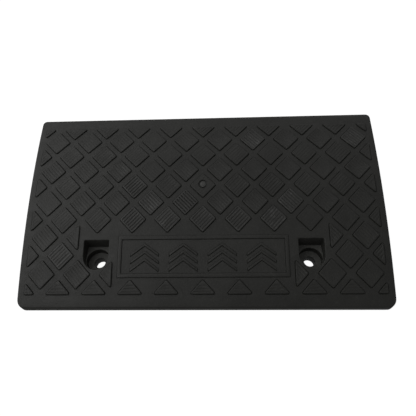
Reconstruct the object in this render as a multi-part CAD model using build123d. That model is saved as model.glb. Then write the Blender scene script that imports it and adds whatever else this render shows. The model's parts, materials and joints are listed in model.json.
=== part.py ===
"""Kerb ramp for one wheel track: a wedge with a tread of small ribbed tiles, bolted down through two pockets.

Millimetres, +Z up.  The origin is the centre of the footprint, on the ground.  +Y runs up the slope, from the
thin leading lip to the tall back wall that stands against the kerb, and +X runs along the ramp's width.

Pieces: ramp_body, one hollow moulding with a ribbed underside, and eight foot pads of soft rubber, each
pushed by its stem into a boss under the ramp.
"""
import os

from build123d import *

os.makedirs("parts", exist_ok=True)

# ---- overall shape ----
WIDTH = 500.0              # along the kerb
DEPTH = 270.0              # from leading lip to back wall
HEIGHT = 90.4              # back wall, before its top edge is rounded down to 90
LIP = 9.0                  # leading edge
CROWN = 9.0                # the slope bulges above the straight line by this much at mid-depth
LIP_CORNER_R = 11.0        # corners in plan, low end
BACK_CORNER_R = 6.5        # corners in plan, high end
EDGE_R = 2.0               # rounding between the slope and the walls

# ---- hollow underside ----
SKIN = 5.0                 # thickness of the slope
WALL = 5.0                 # thickness of the outer walls
RIB = 3.2                  # thickness of the stiffening ribs
COLUMNS = 12               # cells along the width
ROWS = 6                   # cells along the depth

# ---- tread of diamond tiles ----
TILE_PITCH_X = 24.35       # half the distance between tiles of one row
TILE_PITCH_Y = 23.6        # distance between rows
TILE_REACH_X = 18.0        # centre of a tile to its side corner
TILE_REACH_Y = 17.8        # centre of a tile to its upper and lower corner
TILE_RISE = 1.3
TILE_ROOT = 1.0            # how deep a tile's foot is sunk into the skin
GATE_ROW_DISTANCE = 158.4  # the row through the middle tile, from the leading edge
ROWS_ABOVE = 4
ROWS_BELOW = 5
FIELD_HALF_WIDTH = 240.2   # the tread stops here, leaving plain margins
FIELD_BACK = 252.5         # distance of the tread's back edge from the leading edge
ROW_START = {-3: 171.5, -4: 171.5, -5: 123.0}    # rows beside the pockets and panel start this far out
LEAD_BASE = 16.2           # row of triangles along the lip: base, apex and half width
LEAD_APEX = 33.3
LEAD_HALF_WIDTH = 16.9

# ---- panel between the pockets, with four direction marks ----
PANEL_HALF_WIDTH = 115.4
PANEL_NEAR = 36.4
PANEL_FAR = 89.0
PANEL_BAND = 4.6
PANEL_RISE = 1.0
MARK_SPACING = 52.6
MARK_CENTRE = 61.5
MARK_HALF_WIDTH = 19.0
MARK_POINT = 13.0          # a chevron's point stands this far ahead of its ends
MARK_STROKE = 3.2
MARK_STEP = 9.5            # distance from one chevron to the next
MARK_CHEVRONS = 3

# ---- moulding gate in the middle tile ----
GATE_OFFSET = 1.2          # the gate is this much higher up the slope than the middle of its tile
GATE_R = 6.4
GATE_DEPTH = 1.8
GATE_PIP_R = 4.4

# ---- bolt pockets ----
BOLT_SPACING = 292.5
BOLT_DISTANCE = 64.0       # bolt centre, from the leading edge
BOLT_R = 7.5
POCKET_R = 17.3            # rounded front of the pocket and half its width
POCKET_BACK = 84.4         # square back wall, from the leading edge
POCKET_LEDGE = 22.5        # height of the ledge round the counterbore
SEAT_R = 16.2              # counterbore that takes the washer
SEAT_HEIGHT = 13.0
TUB_WALL = 4.0

# ---- foot pads ----
PAD_R = 12.0
PAD_THICKNESS = 4.0
STEM_R = 4.5
STEM_LENGTH = 9.0
STEM_TIP_R = 3.5
PAD_CLEARANCE = 0.15
PAD_BOSS_R = 16.0
PAD_COLUMNS = (1, 4, 8, 11)    # rib lines that the pads stand on
PAD_ROWS = (1, 5)


def y_at(distance):
    """Y of a point that lies this far from the leading edge."""
    return distance - DEPTH / 2


def arched_block(rise, floor):
    """The full footprint, from the height `floor` up to the slope's surface raised by `rise`."""
    low, high = -DEPTH / 2, DEPTH / 2
    middle = (LIP + HEIGHT) / 2 + CROWN
    outline = Line((low, floor), (high, floor))
    outline += Line((high, floor), (high, HEIGHT + rise))
    outline += ThreePointArc((high, HEIGHT + rise), (0, middle + rise), (low, LIP + rise))
    outline += Line((low, LIP + rise), (low, floor))
    return extrude(make_face(Plane.YZ * outline), amount=WIDTH / 2, both=True)


def outer_block():
    """The ramp as a solid wedge, with its corners and the edges of its slope rounded."""
    block = arched_block(0, 0)
    block = fillet(block.edges().filter_by(Axis.Z).sort_by(Axis.Y)[:2], LIP_CORNER_R)
    block = fillet(block.edges().filter_by(Axis.Z).sort_by(Axis.Y)[-2:], BACK_CORNER_R)
    slope = block.faces().sort_by(Axis.Z)[-1]
    return fillet(slope.edges(), EDGE_R)


def relief(sheet, rise):
    """Raise a flat plan figure as a pad that follows the slope."""
    columns = extrude(sheet, amount=HEIGHT + rise + CROWN)
    layer = arched_block(rise, 0) - arched_block(-TILE_ROOT, -1)
    return columns & layer


def tile_plan():
    """Plan of the tread: rows of diamonds, cut straight at the edges of the field, and the lead triangles."""
    diamond = Polygon((TILE_REACH_X, 0), (0, TILE_REACH_Y), (-TILE_REACH_X, 0), (0, -TILE_REACH_Y))
    reach = int(FIELD_HALF_WIDTH / TILE_PITCH_X) + 1
    plan = []
    for row in range(-ROWS_BELOW, ROWS_ABOVE + 1):
        start = ROW_START.get(row, 0)
        window = Pos(0, y_at(FIELD_BACK) - DEPTH / 2) * Rectangle(2 * FIELD_HALF_WIDTH, DEPTH)
        if start:
            window -= Rectangle(2 * start, DEPTH)
        for column in range(-reach, reach + 1):
            if (row + column) % 2 or abs(column) * TILE_PITCH_X + TILE_REACH_X <= start:
                continue
            place = Pos(column * TILE_PITCH_X, y_at(GATE_ROW_DISTANCE + row * TILE_PITCH_Y))
            plan += (place * diamond & window).faces()
    triangle = Polygon(
        (-LEAD_HALF_WIDTH, LEAD_BASE), (LEAD_HALF_WIDTH, LEAD_BASE), (0, LEAD_APEX),
        align=None,
    )
    window = Rectangle(2 * FIELD_HALF_WIDTH, DEPTH)
    for column in range(-reach + reach % 2, reach + 1, 2):
        plan += (Pos(column * TILE_PITCH_X, y_at(0)) * triangle & window).faces()
    return Sketch(plan)


def panel_plan():
    """Band round the panel."""
    depth = PANEL_FAR - PANEL_NEAR
    place = Pos(0, y_at((PANEL_FAR + PANEL_NEAR) / 2))
    inner = Rectangle(2 * (PANEL_HALF_WIDTH - PANEL_BAND), depth - 2 * PANEL_BAND)
    return place * (Rectangle(2 * PANEL_HALF_WIDTH, depth) - inner)


def mark_plan():
    """Four groups of chevrons that point up the slope."""
    chevron = Polygon(
        (-MARK_HALF_WIDTH, -MARK_STROKE), (0, MARK_POINT - MARK_STROKE), (MARK_HALF_WIDTH, -MARK_STROKE),
        (MARK_HALF_WIDTH, 0), (0, MARK_POINT), (-MARK_HALF_WIDTH, 0),
        align=None,
    )
    first = -(MARK_CHEVRONS - 1) / 2 * MARK_STEP - (MARK_POINT - MARK_STROKE) / 2
    marks = []
    for group in (-1.5, -0.5, 0.5, 1.5):
        for step in range(MARK_CHEVRONS):
            marks.append(Pos(group * MARK_SPACING, y_at(MARK_CENTRE) + first + step * MARK_STEP) * chevron)
    return Sketch([mark.face() for mark in marks])


def pocket_plan(grow=0.0):
    """D-shaped plan of a bolt pocket about the bolt's axis."""
    radius = POCKET_R + grow
    length = POCKET_BACK - BOLT_DISTANCE + grow
    return Circle(radius) + Pos(0, length / 2) * Rectangle(2 * radius, length)


def bolt_places():
    return [Pos(side * BOLT_SPACING / 2, y_at(BOLT_DISTANCE), 0) for side in (-1, 1)]


def pad_places():
    return [
        Pos(-WIDTH / 2 + column * WIDTH / COLUMNS, -DEPTH / 2 + row * DEPTH / ROWS, 0)
        for row in PAD_ROWS
        for column in PAD_COLUMNS
    ]


def underside_cells():
    """Hollow cells between the ribs, clear of the pocket tubs and of the pad bosses."""
    inside_x, inside_y = WIDTH / 2 - WALL, DEPTH / 2 - WALL
    rib_x = [-WIDTH / 2 + n * WIDTH / COLUMNS for n in range(1, COLUMNS)]
    rib_y = [-DEPTH / 2 + n * DEPTH / ROWS for n in range(1, ROWS)]
    left = [-inside_x] + [x + RIB / 2 for x in rib_x]
    right = [x - RIB / 2 for x in rib_x] + [inside_x]
    near = [-inside_y + WALL] + [y + RIB / 2 for y in rib_y]
    far = [y - RIB / 2 for y in rib_y] + [inside_y]
    columns = [
        Pos((x0 + x1) / 2, (y0 + y1) / 2, 0) * Box(x1 - x0, y1 - y0, 3 * HEIGHT)
        for x0, x1 in zip(left, right)
        for y0, y1 in zip(near, far)
    ]
    kept = [place * extrude(pocket_plan(TUB_WALL), amount=2 * HEIGHT, both=True) for place in bolt_places()]
    kept += [place * Cylinder(PAD_BOSS_R, 3 * HEIGHT) for place in pad_places()]
    room = arched_block(-SKIN, -1) - kept
    return room & Compound(columns)


def ramp_body():
    body = outer_block()
    body += relief(tile_plan(), TILE_RISE)
    body += relief(panel_plan() + mark_plan(), PANEL_RISE)
    body -= underside_cells()
    for place in bolt_places():
        body -= place * Pos(0, 0, POCKET_LEDGE) * extrude(pocket_plan(), amount=HEIGHT)
        body -= place * Pos(0, 0, SEAT_HEIGHT) * extrude(Circle(SEAT_R), amount=HEIGHT)
        body -= place * Cylinder(BOLT_R, 2 * HEIGHT)
    for place in pad_places():
        body -= place * extrude(Circle(PAD_R + PAD_CLEARANCE), amount=PAD_THICKNESS)
        body -= place * extrude(Circle(STEM_R + PAD_CLEARANCE), amount=PAD_THICKNESS + STEM_LENGTH + 1)
    gate = Pos(0, y_at(GATE_ROW_DISTANCE) + GATE_OFFSET, 0) * (Circle(GATE_R) - Circle(GATE_PIP_R))
    return body - (extrude(gate, amount=2 * HEIGHT) - arched_block(TILE_RISE - GATE_DEPTH, 0))


def foot_pad():
    pad = extrude(Circle(PAD_R), amount=PAD_THICKNESS)
    pad = fillet(pad.edges().group_by(Axis.Z)[0], 0.8)
    stem = Cylinder(STEM_R, STEM_LENGTH - 2, align=(Align.CENTER, Align.CENTER, Align.MIN))
    tip = Cone(STEM_R, STEM_TIP_R, 2, align=(Align.CENTER, Align.CENTER, Align.MIN))
    stem_top = PAD_THICKNESS + STEM_LENGTH - 2
    return pad + Pos(0, 0, PAD_THICKNESS) * stem + Pos(0, 0, stem_top) * tip


def main():
    body = ramp_body()
    print("ramp_body", len(body.solids()), "solids", round(body.volume), body.bounding_box())
    export_step(body, "parts/ramp_body.step")
    for number, place in enumerate(pad_places(), 1):
        export_step(place * foot_pad(), f"parts/foot_pad_{number}.step")


main()
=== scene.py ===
"""Looks of the kerb ramp: one black moulding with a ribbed tile tread, and eight rubber foot pads under it.

Shapes are worked out in millimetres in the CAD frame (+X along the width, +Y up the slope, +Z up) and turned
into metres when a mesh is made.
"""
import json
import math

import bpy
import mathutils.kdtree
import mathutils.noise
from mathutils import Matrix, Vector


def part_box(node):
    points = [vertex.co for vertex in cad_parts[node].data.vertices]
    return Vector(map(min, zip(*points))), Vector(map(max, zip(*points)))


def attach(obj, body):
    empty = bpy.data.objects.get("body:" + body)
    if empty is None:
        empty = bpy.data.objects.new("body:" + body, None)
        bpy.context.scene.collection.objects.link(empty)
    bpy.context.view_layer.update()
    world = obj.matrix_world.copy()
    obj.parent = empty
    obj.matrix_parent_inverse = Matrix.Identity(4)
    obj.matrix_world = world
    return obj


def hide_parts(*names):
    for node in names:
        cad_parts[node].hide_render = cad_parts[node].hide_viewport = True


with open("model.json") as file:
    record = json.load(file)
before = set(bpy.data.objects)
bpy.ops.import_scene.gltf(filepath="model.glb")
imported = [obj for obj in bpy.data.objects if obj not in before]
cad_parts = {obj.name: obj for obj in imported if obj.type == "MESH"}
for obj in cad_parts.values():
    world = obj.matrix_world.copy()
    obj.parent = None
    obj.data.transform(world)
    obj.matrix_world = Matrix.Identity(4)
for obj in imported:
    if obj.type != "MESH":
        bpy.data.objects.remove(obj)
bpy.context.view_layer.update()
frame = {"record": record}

MM = 0.001


# ---------------------------------------------------------------- sizes, in millimetres

def in_mm(corners):
    return [[value / MM for value in corner] for corner in corners]


RAMP_LOW, RAMP_HIGH = in_mm(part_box("ramp_body"))
WIDTH = RAMP_HIGH[0] - RAMP_LOW[0]
DEPTH = RAMP_HIGH[1] - RAMP_LOW[1]
HEIGHT = RAMP_HIGH[2] - RAMP_LOW[2]
MOUNTS = {mount["name"]: mount for mount in frame["record"]["mounts"]}

LIP = 9.0                  # leading edge
CROWN = 9.0                # bulge of the slope above the straight line
BACK_RISE = 0.3            # the slope aims this much above the back wall, and the rounding takes it away
LIP_CORNER_R = 11.0
BACK_CORNER_R = 6.5
EDGE_R = 2.0
STATION = 3.0              # spacing of the cross-sections of the block
CORNER_STEPS = 8           # facets of a corner in plan
EDGE_STEPS = 6             # facets of the rounding at the edge of the slope

SKIN = 5.0
WALL = 5.0
RIB = 3.2
COLUMNS = 12
ROWS = 6
CELL_CORNER_R = 2.0

TILE_PITCH_X = 24.35
TILE_PITCH_Y = 23.6
TILE_REACH_X = 18.0
TILE_REACH_Y = 17.8
TILE_RISE = 1.3
TILE_CORNER_R = 1.6
MOAT_WIDTH = 1.0           # fine groove round the foot of a tile, a band or a mark
MOAT_DEPTH = 0.8
GATE_ROW_DISTANCE = 158.4
ROWS_ABOVE = 4
ROWS_BELOW = 5
FIELD_HALF_WIDTH = 240.2
FIELD_BACK = 252.5
ROW_START = {-3: 171.5, -4: 171.5, -5: 123.0}
LEAD_BASE = 16.2
LEAD_APEX = 33.3
LEAD_HALF_WIDTH = 16.9

GROOVES = 6                # fine grooves across a tile, which leave ribs between them
GROOVE_PITCH = 3.9
GROOVE_WIDTH = 1.9
GROOVE_DEPTH = (0.12, 1.2)    # on the faintest and on the crispest tiles
TILE_RIM = 1.6             # plain rim round the grooves
CRISP_PATCH = (-40, -8)    # middle of the patch where the mould has printed the ribs best
CRISP_REACH = (120, 36)
CRISP_EVERYWHERE = 0.22
CRISP_IN_PATCH = 0.62
CRISP_SCATTER = 0.65       # differences from tile to tile
CRISP_SCATTER_SIZE = 9
WORN_HIGHLIT_FROM = 0.36           # tiles crisper than this have scuffed tops, painted lighter as a highlight on the ribs

PANEL_HALF_WIDTH = 115.4
PANEL_NEAR = 36.4
PANEL_FAR = 89.0
PANEL_BAND = 4.6
PANEL_RISE = 1.0
MARK_SPACING = 52.6
MARK_CENTRE = 61.5
MARK_HALF_WIDTH = 19.0
MARK_POINT = 13.0
MARK_STROKE = 3.2
MARK_STEP = 9.5
MARK_CHEVRONS = 3

GATE_OFFSET = 1.2          # the gate is this much higher up the slope than the middle of its tile
GATE_R = 6.4
GATE_DEPTH = 1.8
GATE_PIP_R = 4.4

POCKET_R = 17.3
POCKET_BACK = 84.4
POCKET_LEDGE = 22.5
POCKET_RIM_R = 0.9
POCKET_CORNER_R = 1.5
SEAT_R = 16.2
SEAT_HEIGHT = 13.0
TUB_WALL = 4.0

PAD_R = 12.0
PAD_THICKNESS = 4.0
STEM_R = 4.5
STEM_TOP = 11.0
STEM_TIP_R = 3.5
STEM_TIP_TOP = 13.0
PAD_CLEARANCE = 0.15
PAD_BOSS_R = 16.0

BACKDROP_R = 3000
BACKDROP_HEIGHT = 6000
FLOOR_GAP = 0.3            # the ground lies this far below the soles

CAMERA_PLACE = (28.8, -297.9, 484.2)
CAMERA_AIM = (6.7, -1.6, 45.0)
CAMERA_ROLL = -4.29        # degrees
CAMERA_LENS = 32.14        # on a sensor 36 mm wide
SHARP_ANGLE = 28           # degrees; flatter edges are shaded smooth


# ---------------------------------------------------------------- slope and plan figures

def y_at(distance):
    """Y of a point that lies this far from the leading edge."""
    return distance - DEPTH / 2


def slope_circle():
    """Height of the centre, Y of the centre and radius of the arc that the slope's section follows."""
    half, low, high = DEPTH / 2, LIP, HEIGHT + BACK_RISE
    middle = (low + high) / 2 + CROWN
    # centre (cy, cz) is equally far from (-half, low), (0, middle) and (half, high)
    a1, b1, c1 = -half, low - middle, (half ** 2 + low ** 2 - middle ** 2) / 2
    a2, b2, c2 = half, high - middle, (half ** 2 + high ** 2 - middle ** 2) / 2
    determinant = a1 * b2 - a2 * b1
    cy = (c1 * b2 - c2 * b1) / determinant
    cz = (a1 * c2 - a2 * c1) / determinant
    return cy, cz, math.hypot(cy, middle - cz)


ARC_Y, ARC_Z, ARC_R = slope_circle()


def slope(y):
    """Height of the plain slope at this Y."""
    return ARC_Z + math.sqrt(ARC_R ** 2 - (y - ARC_Y) ** 2)


def above(rise):
    """Layer that follows the slope, raised by `rise`."""
    return lambda y: slope(y) + rise


def level(height):
    """Flat layer."""
    return lambda y: height


def circle(x, y, radius, count=48):
    turn = 2 * math.pi / count
    return [Vector((x + radius * math.cos(turn * n), y + radius * math.sin(turn * n))) for n in range(count)]


def rectangle(x0, y0, x1, y1):
    return [Vector((x0, y0)), Vector((x1, y0)), Vector((x1, y1)), Vector((x0, y1))]


def moved(outline, x, y):
    return [point + Vector((x, y)) for point in outline]


def corners_of(outline):
    """Each point of a closed outline with its neighbours."""
    return zip(outline[-1:] + outline[:-1], outline, outline[1:] + outline[:1])


def grown(outline, distance):
    """Counter-clockwise outline moved outward with mitred corners, or inward if the distance is negative."""
    result = []
    for before, here, after in corners_of(outline):
        first = (here - before).normalized()
        second = (after - here).normalized()
        normal = Vector((first.y + second.y, -first.x - second.x))
        result.append(here + normal * (distance / (1 + first.dot(second))))
    return result


def softened(outline, radius, steps=3):
    """Outline with its corners rounded, less where a side is short."""
    result = []
    for before, here, after in corners_of(outline):
        to_before, to_after = before - here, after - here
        half_angle = to_before.angle(to_after) / 2
        cut = min(radius / math.tan(half_angle), 0.45 * to_before.length, 0.45 * to_after.length)
        start = here + to_before.normalized() * cut
        end = here + to_after.normalized() * cut
        for step in range(steps + 1):
            t = step / steps
            result.append(start * (1 - t) ** 2 + here * 2 * t * (1 - t) + end * t ** 2)
    return result


def clipped(outline, normal, limit):
    """The part of a convex outline where normal . point is at most `limit`."""
    result = []
    for here, after in zip(outline, outline[1:] + outline[:1]):
        h, a = normal.dot(here) - limit, normal.dot(after) - limit
        if h <= 0:
            result.append(here)
        if h * a < 0:
            result.append(here.lerp(after, h / (h - a)))
    return result


def area(outline):
    return sum(a.x * b.y - b.x * a.y for a, b in zip(outline, outline[1:] + outline[:1])) / 2


# ---------------------------------------------------------------- closed shells and mesh objects

class Shell:
    """Closed surfaces gathered in millimetres, to become one mesh."""

    def __init__(self):
        self.points = []
        self.faces = []

    def stack(self, rings, ends=True):
        """Skin rings of equal length, from the lowest up; without ends the last ring joins the first."""
        first, count = len(self.points), len(rings[0])
        for ring in rings:
            self.points += ring
        for low in range(len(rings) - 1 if ends else len(rings)):
            a = first + low * count
            b = first + (low + 1) % len(rings) * count
            for i in range(count):
                j = (i + 1) % count
                self.faces.append((a + i, a + j, b + j, b + i))
        if ends:
            top = first + (len(rings) - 1) * count
            self.faces.append(tuple(reversed(range(first, first + count))))
            self.faces.append(tuple(range(top, top + count)))

    def layers(self, outline, steps):
        """Solid over an outline: each step is how far the outline has grown and the layer it lies on."""
        self.stack([ring(grown(outline, growth), layer) for growth, layer in steps])

    def frame(self, outer, inner, steps):
        """Raised band between two outlines; each step is how far the band's sides stand back, and a layer."""
        outside = [ring(grown(outer, -inset), layer) for inset, layer in steps]
        inside = [ring(grown(inner, inset), layer) for inset, layer in reversed(steps)]
        self.stack(outside + inside, ends=False)

    def object(self, name):
        mesh = bpy.data.meshes.new(name)
        mesh.from_pydata([Vector(point) * MM for point in self.points], [], self.faces)
        mesh.validate()
        piece = bpy.data.objects.new(name, mesh)
        bpy.context.scene.collection.objects.link(piece)
        return piece


def ring(outline, layer):
    return [(point.x, point.y, layer(point.y)) for point in outline]


def combine(piece, tool, operation):
    """Join a closed tool to a piece or cut it away, and discard the tool."""
    modifier = piece.modifiers.new(operation, "BOOLEAN")
    modifier.operation = operation
    modifier.solver = "MANIFOLD"
    modifier.object = tool
    depsgraph = bpy.context.evaluated_depsgraph_get()
    mesh = bpy.data.meshes.new_from_object(piece.evaluated_get(depsgraph))
    piece.modifiers.clear()
    old, piece.data = piece.data, mesh
    bpy.data.meshes.remove(old)
    bpy.data.meshes.remove(tool.data)


# ---------------------------------------------------------------- the moulding

def quarter_turn(x, y, radius, first):
    """Arc of a corner about (x, y), counter-clockwise from the angle `first`."""
    angles = [first + step * math.pi / 2 / CORNER_STEPS for step in range(CORNER_STEPS + 1)]
    return [Vector((x + radius * math.cos(angle), y + radius * math.sin(angle))) for angle in angles]


def footprint(inset):
    """Outline of the ramp moved inward: the right half, from lip to back wall, and its mirror image."""
    start, end = LIP_CORNER_R - DEPTH / 2, DEPTH / 2 - BACK_CORNER_R
    count = round((end - start) / STATION)
    right = quarter_turn(WIDTH / 2 - LIP_CORNER_R, start, LIP_CORNER_R - inset, -math.pi / 2)
    right += [Vector((WIDTH / 2 - inset, start + (end - start) * step / count)) for step in range(1, count)]
    right += quarter_turn(WIDTH / 2 - BACK_CORNER_R, end, BACK_CORNER_R - inset, 0)
    return right + [Vector((-point.x, point.y)) for point in reversed(right)]


def block():
    """The wedge with its rounded corners and edges, as a ladder of cross-sections."""
    steps = [(0.5, level(0)), (0.15, level(0.15)), (0, level(0.5))]
    for step in range(EDGE_STEPS + 1):
        angle = step * math.pi / 2 / EDGE_STEPS
        steps.append((EDGE_R * (1 - math.cos(angle)), above(EDGE_R * (math.sin(angle) - 1))))
    shell = Shell()
    shell.stack([ring(footprint(inset), layer) for inset, layer in steps])
    # the top is ruled across the width, one strip for each pair of stations
    top = shell.faces.pop()
    for k in range(len(top) // 2 - 1):
        shell.faces.append((top[k], top[k + 1], top[-k - 2], top[-k - 1]))
    return shell.object("ramp_moulding")


def tile_outlines():
    """Every tile of the tread as (outline, centre, direction of its ribs)."""
    diamond = [
        Vector((TILE_REACH_X, 0)), Vector((0, TILE_REACH_Y)),
        Vector((-TILE_REACH_X, 0)), Vector((0, -TILE_REACH_Y)),
    ]
    triangle = [
        Vector((-LEAD_HALF_WIDTH, LEAD_BASE)), Vector((LEAD_HALF_WIDTH, LEAD_BASE)), Vector((0, LEAD_APEX)),
    ]
    rising = Vector((TILE_REACH_X, TILE_REACH_Y)).normalized()
    falling = Vector((TILE_REACH_X, -TILE_REACH_Y)).normalized()
    reach = int(FIELD_HALF_WIDTH / TILE_PITCH_X) + 1
    tiles = []
    for row in range(-ROWS_BELOW, ROWS_ABOVE + 1):
        for column in range(-reach, reach + 1):
            if (row + column) % 2:
                continue
            centre = Vector((column * TILE_PITCH_X, y_at(GATE_ROW_DISTANCE + row * TILE_PITCH_Y)))
            outline = moved(diamond, *centre)
            if row in ROW_START:
                outline = clipped(outline, Vector((-math.copysign(1, column), 0)), -ROW_START[row])
            tiles.append((outline, centre, falling if row % 2 else rising))
    for column in range(-reach + reach % 2, reach + 1, 2):
        centre = Vector((column * TILE_PITCH_X, y_at(LEAD_BASE)))
        tiles.append((moved(triangle, centre.x, y_at(0)), centre, Vector((1, 0))))
    for outline, centre, along in tiles:
        outline = clipped(outline, Vector((1, 0)), FIELD_HALF_WIDTH)
        outline = clipped(outline, Vector((-1, 0)), FIELD_HALF_WIDTH)
        outline = clipped(outline, Vector((0, 1)), y_at(FIELD_BACK))
        if len(outline) > 2 and area(outline) > 40:
            yield outline, centre, along


def gate_centre():
    return Vector((0, y_at(GATE_ROW_DISTANCE) + GATE_OFFSET))


def crispness(centre):
    """How sharply the mould has printed the ribs of the tile at this place, from 0 to 1."""
    if (centre - gate_centre()).length < TILE_REACH_Y / 2:
        return 0
    across = (centre.x - CRISP_PATCH[0]) / CRISP_REACH[0]
    along = (centre.y - CRISP_PATCH[1]) / CRISP_REACH[1]
    scatter = mathutils.noise.noise((centre.x / CRISP_SCATTER_SIZE, centre.y / CRISP_SCATTER_SIZE, 5.3))
    patch = math.exp(-across ** 2 - along ** 2)
    total = CRISP_EVERYWHERE + CRISP_IN_PATCH * patch + CRISP_SCATTER * scatter
    return min(1, max(0, total)) ** 1.5


def groove_outlines(outline, centre, along):
    """Plans of the grooves of one tile, each ending short of the tile's rim."""
    across = Vector((-along.y, along.x))
    inside = grown(outline, -TILE_RIM)
    if area(inside) <= 0:
        return
    for number in range(GROOVES):
        middle = across.dot(centre) + (number - (GROOVES - 1) / 2) * GROOVE_PITCH
        groove = clipped(inside, across, middle + GROOVE_WIDTH / 2)
        groove = clipped(groove, -across, GROOVE_WIDTH / 2 - middle)
        if len(groove) > 2 and area(groove) > 2 * GROOVE_WIDTH ** 2:
            yield groove


def tread():
    """All tiles, with their grooves, and the moats round their feet."""
    tiles, grooves, moats = Shell(), Shell(), Shell()
    for outline, centre, along in tile_outlines():
        plan = softened(outline, TILE_CORNER_R)
        tiles.layers(plan, [
            (0.1, above(-MOAT_DEPTH - 0.5)), (0.05, above(0)), (0, above(TILE_RISE - 0.3)),
            (-0.1, above(TILE_RISE - 0.08)), (-0.35, above(TILE_RISE)),
        ])
        moats.layers(plan, moat_steps())
        depth = GROOVE_DEPTH[0] + (GROOVE_DEPTH[1] - GROOVE_DEPTH[0]) * crispness(centre)
        for groove in groove_outlines(outline, centre, along):
            grooves.layers(groove, [
                (-0.7, above(TILE_RISE - depth)), (-0.4, above(TILE_RISE - 0.8 * depth)),
                (-0.05, above(TILE_RISE - 0.15 * depth)), (0.15, above(TILE_RISE)),
                (0.4, above(TILE_RISE + 0.2)),
            ])
    piece = tiles.object("tread")
    combine(piece, grooves.object("grooves"), "DIFFERENCE")
    return piece, moats.object("moats")


def moat_steps(scale=1.0):
    """Profile of the groove round the foot of a raised figure."""
    width, depth = scale * MOAT_WIDTH, scale * MOAT_DEPTH
    return [
        (0.25 * width, above(-depth)), (0.5 * width, above(-0.7 * depth)), (width, above(0)),
        (width + 0.2, above(0.4)),
    ]


def divided(outline, longest):
    """Outline with points added so that no side is longer than this."""
    result = []
    for here, after in zip(outline, outline[1:] + outline[:1]):
        pieces = math.ceil((after - here).length / longest)
        result += [here.lerp(after, n / pieces) for n in range(pieces)]
    return result


def panel_relief():
    """Band round the panel and the four groups of chevrons in it, and the moats round their feet."""
    shell, moats = Shell(), Shell()
    near, far = y_at(PANEL_NEAR), y_at(PANEL_FAR)
    inner = PANEL_HALF_WIDTH - PANEL_BAND
    outside = divided(rectangle(-PANEL_HALF_WIDTH, near, PANEL_HALF_WIDTH, far), 15)
    scale_x = inner / PANEL_HALF_WIDTH
    middle = (near + far) / 2
    scale_y = (far - near - 2 * PANEL_BAND) / (far - near)
    inside = [Vector((p.x * scale_x, middle + (p.y - middle) * scale_y)) for p in outside]
    edge = [(-0.1, above(-1.3)), (-0.05, above(0)), (0, above(PANEL_RISE - 0.3)),
            (0.1, above(PANEL_RISE - 0.08)), (0.35, above(PANEL_RISE))]
    narrow = moat_steps(0.6)
    shell.frame(outside, inside, edge)
    moats.frame(outside, inside, [(-growth, layer) for growth, layer in narrow])
    chevron = [
        Vector((-MARK_HALF_WIDTH, -MARK_STROKE)), Vector((0, MARK_POINT - MARK_STROKE)),
        Vector((MARK_HALF_WIDTH, -MARK_STROKE)), Vector((MARK_HALF_WIDTH, 0)),
        Vector((0, MARK_POINT)), Vector((-MARK_HALF_WIDTH, 0)),
    ]
    first = -(MARK_CHEVRONS - 1) / 2 * MARK_STEP - (MARK_POINT - MARK_STROKE) / 2
    for group in (-1.5, -0.5, 0.5, 1.5):
        for step in range(MARK_CHEVRONS):
            place = moved(chevron, group * MARK_SPACING, y_at(MARK_CENTRE) + first + step * MARK_STEP)
            shell.layers(place, [(-inset, layer) for inset, layer in edge])
            moats.layers(place, narrow)
    return shell.object("panel_relief"), moats.object("panel_moats")


def bolt_places():
    """Plan positions of the two bolt holes."""
    names = ("bolt_hole_left", "bolt_hole_right")
    return [Vector(MOUNTS[name]["pos_m"][:2]) / MM for name in names]


def pad_places():
    """Number and axis of each foot pad."""
    for number in range(1, 9):
        low, high = in_mm(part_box(f"foot_pad_{number}"))
        yield number, (low[0] + high[0]) / 2, (low[1] + high[1]) / 2


def pocket_outline(x, y, grow=0.0):
    """D shape about the bolt: square at the back, half round at the front."""
    radius = POCKET_R + grow
    back = y_at(POCKET_BACK) + grow
    count = 32
    front = [
        Vector((x + radius * math.cos(angle), y + radius * math.sin(angle)))
        for angle in (math.pi + math.pi * n / count for n in range(count + 1))
    ]
    corners = [front[-1], Vector((x + radius, back)), Vector((x - radius, back)), front[0]]
    square = softened(corners, POCKET_CORNER_R + grow)
    corner_points = len(square) // 4
    return front + square[corner_points:3 * corner_points]


def gaps(length, count, first_wall, last_wall):
    """Ends of the gaps between evenly spaced ribs and two outer walls, about the middle."""
    ribs = [n * length / count for n in range(1, count)]
    starts = [first_wall] + [rib + RIB / 2 for rib in ribs]
    ends = [rib - RIB / 2 for rib in ribs] + [length - last_wall]
    return [(start - length / 2, end - length / 2) for start, end in zip(starts, ends)]


def underside_cells():
    """Hollow cells under the skin, clear of the pocket tubs and of the pad bosses."""
    cells = Shell()
    for x0, x1 in gaps(WIDTH, COLUMNS, WALL, WALL):
        for y0, y1 in gaps(DEPTH, ROWS, 2 * WALL, WALL):
            cells.layers(softened(rectangle(x0, y0, x1, y1), CELL_CORNER_R), [
                (0.9, level(-0.5)), (0.4, level(0)), (0.1, level(0.15)), (0, level(0.5)),
                (-0.5, above(-SKIN - 2.5)), (-0.9, above(-SKIN - 0.8)), (-2.2, above(-SKIN)),
            ])
    piece = cells.object("cells")
    kept = Shell()
    foot = [
        (-0.5, level(-2)), (-0.5, level(0)), (-0.1, level(0.15)), (0, level(0.5)), (0.4, above(-SKIN + 1)),
    ]
    for x, y in bolt_places():
        kept.layers(pocket_outline(x, y, TUB_WALL), foot)
    for number, x, y in pad_places():
        kept.layers(circle(x, y, PAD_BOSS_R), foot)
    combine(piece, kept.object("kept"), "DIFFERENCE")
    return piece


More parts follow.
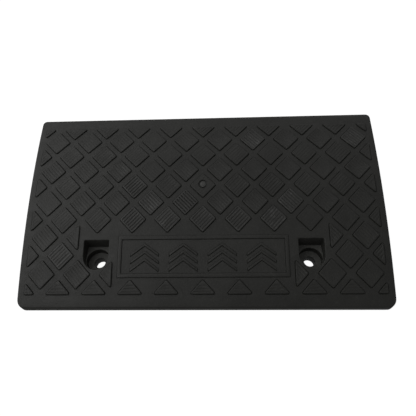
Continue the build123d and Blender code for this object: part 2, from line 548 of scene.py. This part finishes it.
def bolt_cuts():
    """The pockets, the washer seats with the stem holes, and the bolt holes with the pad recesses."""
    pockets, seats, holes = Shell(), Shell(), Shell()
    bolt_r = MOUNTS["bolt_hole_left"]["dims"]["r_mm"]
    rim = [
        (POCKET_RIM_R * (1 - math.cos(angle)), above(POCKET_RIM_R * (math.sin(angle) - 1)))
        for angle in (0, 0.4, 0.8, 1.2, 1.57)
    ]
    for x, y in bolt_places():
        pockets.layers(pocket_outline(x, y), [
            (-1.2, level(POCKET_LEDGE)), (-0.5, level(POCKET_LEDGE + 0.2)),
            (-0.15, level(POCKET_LEDGE + 0.8)), *rim, (POCKET_RIM_R + 0.3, above(2)),
        ])
        seats.layers(circle(x, y, SEAT_R, 64), [
            (-1.0, level(SEAT_HEIGHT)), (-0.4, level(SEAT_HEIGHT + 0.2)), (-0.1, level(SEAT_HEIGHT + 0.8)),
            (0, level(POCKET_LEDGE - 0.6)), (0.15, level(POCKET_LEDGE - 0.15)), (0.6, level(POCKET_LEDGE)),
            (0.7, level(POCKET_LEDGE + 3)),
        ])
        holes.layers(circle(x, y, bolt_r), [
            (0.7, level(-1)), (0.6, level(0)), (0.15, level(0.15)), (0, level(0.6)),
            (0, level(SEAT_HEIGHT - 0.5)), (0.15, level(SEAT_HEIGHT - 0.12)), (0.5, level(SEAT_HEIGHT)),
            (0.6, level(SEAT_HEIGHT + 2)),
        ])
    for number, x, y in pad_places():
        holes.layers(circle(x, y, PAD_R + PAD_CLEARANCE), [
            (0.4, level(-1)), (0.3, level(0)), (0, level(0.4)), (0, level(PAD_THICKNESS)),
        ])
        seats.layers(circle(x, y, STEM_R + PAD_CLEARANCE), [(0, level(2)), (0, level(STEM_TIP_TOP + 1))])
    return pockets.object("pockets"), seats.object("seats"), holes.object("holes")


def gate_relief():
    """Round recess left by the moulding gate, and the pip in its middle."""
    x, y = gate_centre()
    floor = TILE_RISE - GATE_DEPTH
    recess, pip = Shell(), Shell()
    recess.layers(circle(x, y, GATE_R), [
        (-0.4, above(floor)), (-0.1, above(floor + 0.15)), (0, above(TILE_RISE - 0.15)),
        (0.2, above(TILE_RISE)), (0.4, above(TILE_RISE + 0.5)),
    ])
    pip.layers(circle(x, y, GATE_PIP_R, 9), [
        (0.2, above(floor - 1)), (0, above(floor + 0.1)), (-0.2, above(TILE_RISE - 0.3)),
        (-1.5, above(TILE_RISE)), (-2.8, above(TILE_RISE + 0.15)),
    ])
    return recess.object("gate_recess"), pip.object("gate_pip")


def ramp_moulding():
    piece = block()
    for relief, moats in (tread(), panel_relief()):
        combine(piece, moats, "DIFFERENCE")
        combine(piece, relief, "UNION")
    recess, pip = gate_relief()
    combine(piece, recess, "DIFFERENCE")
    combine(piece, pip, "UNION")
    combine(piece, underside_cells(), "DIFFERENCE")
    for tool in bolt_cuts():
        combine(piece, tool, "DIFFERENCE")
    return piece


def scuff_and_paint_light(piece, worn_highlit, torn_highlit, dusty):
    """Give the tops of the crispest tiles, the torn gate and the up-facing floors of the pockets their own
    lighter materials: worn tops with painted highlights, a gate pip with a painted highlight, and pocket
    floors painted lighter as if lit.
    """
    centres = [centre for outline, centre, along in tile_outlines()]
    tree = mathutils.kdtree.KDTree(len(centres))
    for number, centre in enumerate(centres):
        tree.insert((*centre, 0), number)
    tree.balance()
    points = [vertex.co.xy / MM for vertex in piece.data.vertices]
    for polygon in piece.data.polygons:
        x, y, z = polygon.center / MM
        in_pocket = any((Vector((x, y)) - bolt).length < 1.6 * POCKET_R for bolt in bolt_places())
        # painted light: the up-facing floors of the pockets get a lighter material standing in for the light
        # they catch
        if in_pocket and polygon.normal.z > 0.9 and SEAT_HEIGHT - 0.5 < z < POCKET_LEDGE + 0.3:
            polygon.material_index = dusty
        elif z - slope(y) < TILE_RISE - 0.25 or y > y_at(FIELD_BACK):
            continue
        # painted highlight: the gate pip gets a lighter material, torn-looking and standing in for the light
        # it reflects
        elif all((points[n] - gate_centre()).length < GATE_PIP_R for n in polygon.vertices):
            polygon.material_index = torn_highlit
        # tops of the crispest tiles: lighter as wear and as a painted highlight on the ribs
        elif crispness(centres[tree.find((x, y, 0))[1]]) > WORN_HIGHLIT_FROM:
            polygon.material_index = worn_highlit


# ---------------------------------------------------------------- foot pads

def foot_pad(number, x, y):
    """Round pad with two grip grooves in its sole, and the stem that holds it in the boss."""
    profile = [
        (1.6, 0), (3.4, 0), (3.9, 0.7), (5.1, 0.7), (5.6, 0), (7.4, 0), (7.9, 0.7), (9.1, 0.7), (9.6, 0),
        (11.3, 0), (11.8, 0.2), (PAD_R, 0.7), (PAD_R, PAD_THICKNESS - 0.3), (PAD_R - 0.3, PAD_THICKNESS),
        (STEM_R + 0.5, PAD_THICKNESS), (STEM_R, PAD_THICKNESS + 0.5), (STEM_R, STEM_TOP),
        (STEM_TIP_R, STEM_TIP_TOP),
    ]
    shell = Shell()
    shell.stack([ring(circle(x, y, radius), level(height)) for radius, height in profile])
    return shell.object(f"rubber_foot_{number}")


# ---------------------------------------------------------------- materials

def linked(tree, kind, **inputs):
    """New shader node with values or links on its named inputs, written with _ for a space."""
    node = tree.nodes.new(kind)
    for name, value in inputs.items():
        socket = node.inputs[name.replace("_", " ")]
        if isinstance(value, bpy.types.NodeSocket):
            tree.links.new(value, socket)
        else:
            socket.default_value = value
    return node


def noise(tree, coordinates, scale, detail=4.0, roughness=0.55):
    node = linked(
        tree, "ShaderNodeTexNoise",
        Vector=coordinates, Scale=scale, Detail=detail, Roughness=roughness,
    )
    return node.outputs["Fac"]


def spread(tree, value, low, high, to_low, to_high):
    """Map a stretch of one value onto a stretch of another."""
    node = linked(tree, "ShaderNodeMapRange", Value=value)
    node.inputs["From Min"].default_value = low
    node.inputs["From Max"].default_value = high
    node.inputs["To Min"].default_value = to_low
    node.inputs["To Max"].default_value = to_high
    return node.outputs["Result"]


def blend_colours(tree, factor, first, second):
    node = tree.nodes.new("ShaderNodeMix")
    node.data_type = "RGBA"
    tree.links.new(factor, node.inputs["Factor"])
    for socket, colour in ((node.inputs["A"], first), (node.inputs["B"], second)):
        if isinstance(colour, bpy.types.NodeSocket):
            tree.links.new(colour, socket)
        else:
            socket.default_value = (*colour, 1.0)
    return node.outputs["Result"]


def rubber(name, dark, pale, dust, dusty, roughness, grain_size, grain_depth):
    """Black rubber: mottled from dark to pale, dust on a share of it, and a grain sized in millimetres."""
    material = bpy.data.materials.new(name)
    material.use_nodes = True
    tree = material.node_tree
    shader = tree.nodes["Principled BSDF"]
    coordinates = tree.nodes.new("ShaderNodeTexCoord").outputs["Object"]
    broad = noise(tree, coordinates, 14.0, detail=9.0, roughness=0.72)
    patches = noise(tree, coordinates, 90.0, detail=6.0, roughness=0.7)
    grain = noise(tree, coordinates, 1.0 / (grain_size * MM), detail=3.0, roughness=0.6)
    colour = blend_colours(tree, spread(tree, broad, 0.3, 0.7, 0.0, 1.0), dark, pale)
    dust_amount = spread(tree, patches, 0.68 - 0.3 * dusty, 0.8 - 0.2 * dusty, 0.0, dusty)
    colour = blend_colours(tree, dust_amount, colour, dust)
    tree.links.new(colour, shader.inputs["Base Color"])
    rough = linked(tree, "ShaderNodeMath", Value=spread(tree, patches, 0.3, 0.7, -0.1, 0.1))
    rough.inputs[1].default_value = roughness
    tree.links.new(rough.outputs[0], shader.inputs["Roughness"])
    bump = linked(tree, "ShaderNodeBump", Height=grain, Strength=0.9, Distance=grain_depth * MM)
    tree.links.new(bump.outputs["Normal"], shader.inputs["Normal"])
    return material


def dress(piece, materials, node):
    """Give a piece its materials and smooth shading, and tie it to its CAD node."""
    piece.data.materials.clear()
    for material in materials:
        piece.data.materials.append(material)
    piece.data.shade_smooth()
    piece.data.set_sharp_from_angle(angle=math.radians(SHARP_ANGLE))
    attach(piece, "root")
    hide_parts(node)


# ---------------------------------------------------------------- stage, light and camera

def stage():
    """Pale ground that stays white under the soft light, and a pale wall round it far away."""
    material = bpy.data.materials.new("white_ground")
    material.use_nodes = True
    shader = material.node_tree.nodes["Principled BSDF"]
    shader.inputs["Base Color"].default_value = (0.15, 0.15, 0.15, 1)
    shader.inputs["Roughness"].default_value = 0.9
    shader.inputs["Emission Color"].default_value = (1, 1, 1, 1)
    shader.inputs["Emission Strength"].default_value = 0.97
    edge = circle(0, 0, BACKDROP_R, 96)
    floor, wall = Shell(), Shell()
    floor.points = ring(edge, level(-FLOOR_GAP))
    floor.faces = [tuple(range(len(edge)))]
    wall.stack([ring(edge, level(-FLOOR_GAP)), ring(edge, level(BACKDROP_HEIGHT))])
    wall.faces = wall.faces[:-2]    # without its ends
    ground, backdrop = floor.object("ground"), wall.object("backdrop")
    backdrop.visible_shadow = False
    for piece in (ground, backdrop):
        piece.data.materials.append(material)
        piece.visible_diffuse = False
        piece.visible_glossy = False


def softbox(name, place, aim, size, power):
    """Rectangular area light; place, aim and size in metres, power in watts."""
    light = bpy.data.lights.new(name, "AREA")
    light.shape = "RECTANGLE"
    light.size, light.size_y = size
    light.energy = power
    lamp = bpy.data.objects.new(name, light)
    lamp.location = place
    lamp.rotation_euler = (Vector(aim) - Vector(place)).to_track_quat("-Z", "Y").to_euler()
    bpy.context.scene.collection.objects.link(lamp)


def lights():
    """Soft light mostly from the left, weaker from the other sides, and a low strip for the left edge."""
    world = bpy.data.worlds.new("studio")
    world.use_nodes = True
    background = world.node_tree.nodes["Background"]
    background.inputs["Color"].default_value = (1, 1, 1, 1)
    background.inputs["Strength"].default_value = 0.19
    bpy.context.scene.world = world
    middle = (0, 0, 0.04)
    softbox("left", (-1.15, 0.1, 1.0), middle, (1.8, 1.8), 7.8)
    softbox("back", (0.3, 1.3, 1.1), middle, (1.8, 1.4), 2.9)
    softbox("front", (-0.9, -0.8, 1.1), middle, (1.4, 1.4), 1.7)
    softbox("rim", (-1.1, 0.0, 0.16), middle, (1.2, 0.12), 0.5)
    softbox("ceiling", (0, 0.1, 1.6), middle, (1.8, 1.8), 1.3)
    bpy.context.scene.view_settings.view_transform = "Standard"


def camera():
    """Camera above the lip, looking down the slope, turned a little clockwise."""
    place, aim = Vector(CAMERA_PLACE) * MM, Vector(CAMERA_AIM) * MM
    roll = math.radians(CAMERA_ROLL)
    lens = bpy.data.cameras.new("camera")
    lens.sensor_width = 36.0
    lens.lens = CAMERA_LENS
    lens.clip_start = 0.01
    viewer = bpy.data.objects.new("camera", lens)
    turn = (aim - place).to_track_quat("-Z", "Y").to_matrix() @ Matrix.Rotation(roll, 3, "Z")
    viewer.matrix_world = Matrix.Translation(place) @ turn.to_4x4()
    bpy.context.scene.collection.objects.link(viewer)
    bpy.context.scene.camera = viewer


# ---------------------------------------------------------------- the scene

camera()
lights()
stage()
body_rubber = rubber(
    "black_rubber", dark=(0.014, 0.014, 0.0118), pale=(0.027, 0.027, 0.0237), dust=(0.05, 0.05, 0.046),
    dusty=0.4, roughness=0.5, grain_size=2.4, grain_depth=0.3,
)
# tops of crisp tiles: paler as wear and as a painted highlight; its pale patches are part wear, part painted
# glints
worn_painted_highlight_rubber = rubber(
    "worn_painted_highlight_rubber", dark=(0.025, 0.025, 0.0225), pale=(0.041, 0.041, 0.038), dust=(0.13, 0.13, 0.125),
    dusty=0.45, roughness=0.43, grain_size=2.4, grain_depth=0.3,
)
# gate pip: torn rubber painted lighter as a highlight
torn_painted_highlight_rubber = rubber(
    "torn_painted_highlight_rubber", dark=(0.05, 0.05, 0.047), pale=(0.07, 0.07, 0.066), dust=(0.12, 0.12, 0.12),
    dusty=0.4, roughness=0.45, grain_size=0.8, grain_depth=0.1,
)
# pocket floors: a lighter copy of the rubber, painted light for the lit floors, with the usual dust patches
pocket_floor_painted_light_rubber = rubber(
    "pocket_floor_painted_light_rubber", dark=(0.05, 0.05, 0.045), pale=(0.075, 0.075, 0.068), dust=(0.1, 0.1, 0.09),
    dusty=0.4, roughness=0.6, grain_size=0.5, grain_depth=0.045,
)
pad_rubber = rubber(
    "soft_rubber", dark=(0.03, 0.03, 0.032), pale=(0.036, 0.036, 0.038), dust=(0.06, 0.06, 0.06),
    dusty=0.3, roughness=0.75, grain_size=0.3, grain_depth=0.02,
)
moulding = ramp_moulding()
dress(moulding, (body_rubber, worn_painted_highlight_rubber, torn_painted_highlight_rubber, pocket_floor_painted_light_rubber), "ramp_body")
# painted light: lighter materials on crisp tile tops and the gate pip as highlights, and on the pocket floors
# (index dusty) as if lit
scuff_and_paint_light(moulding, worn_highlit=1, torn_highlit=2, dusty=3)
for number, x, y in list(pad_places()):
    dress(foot_pad(number, x, y), (pad_rubber,), f"foot_pad_{number}")
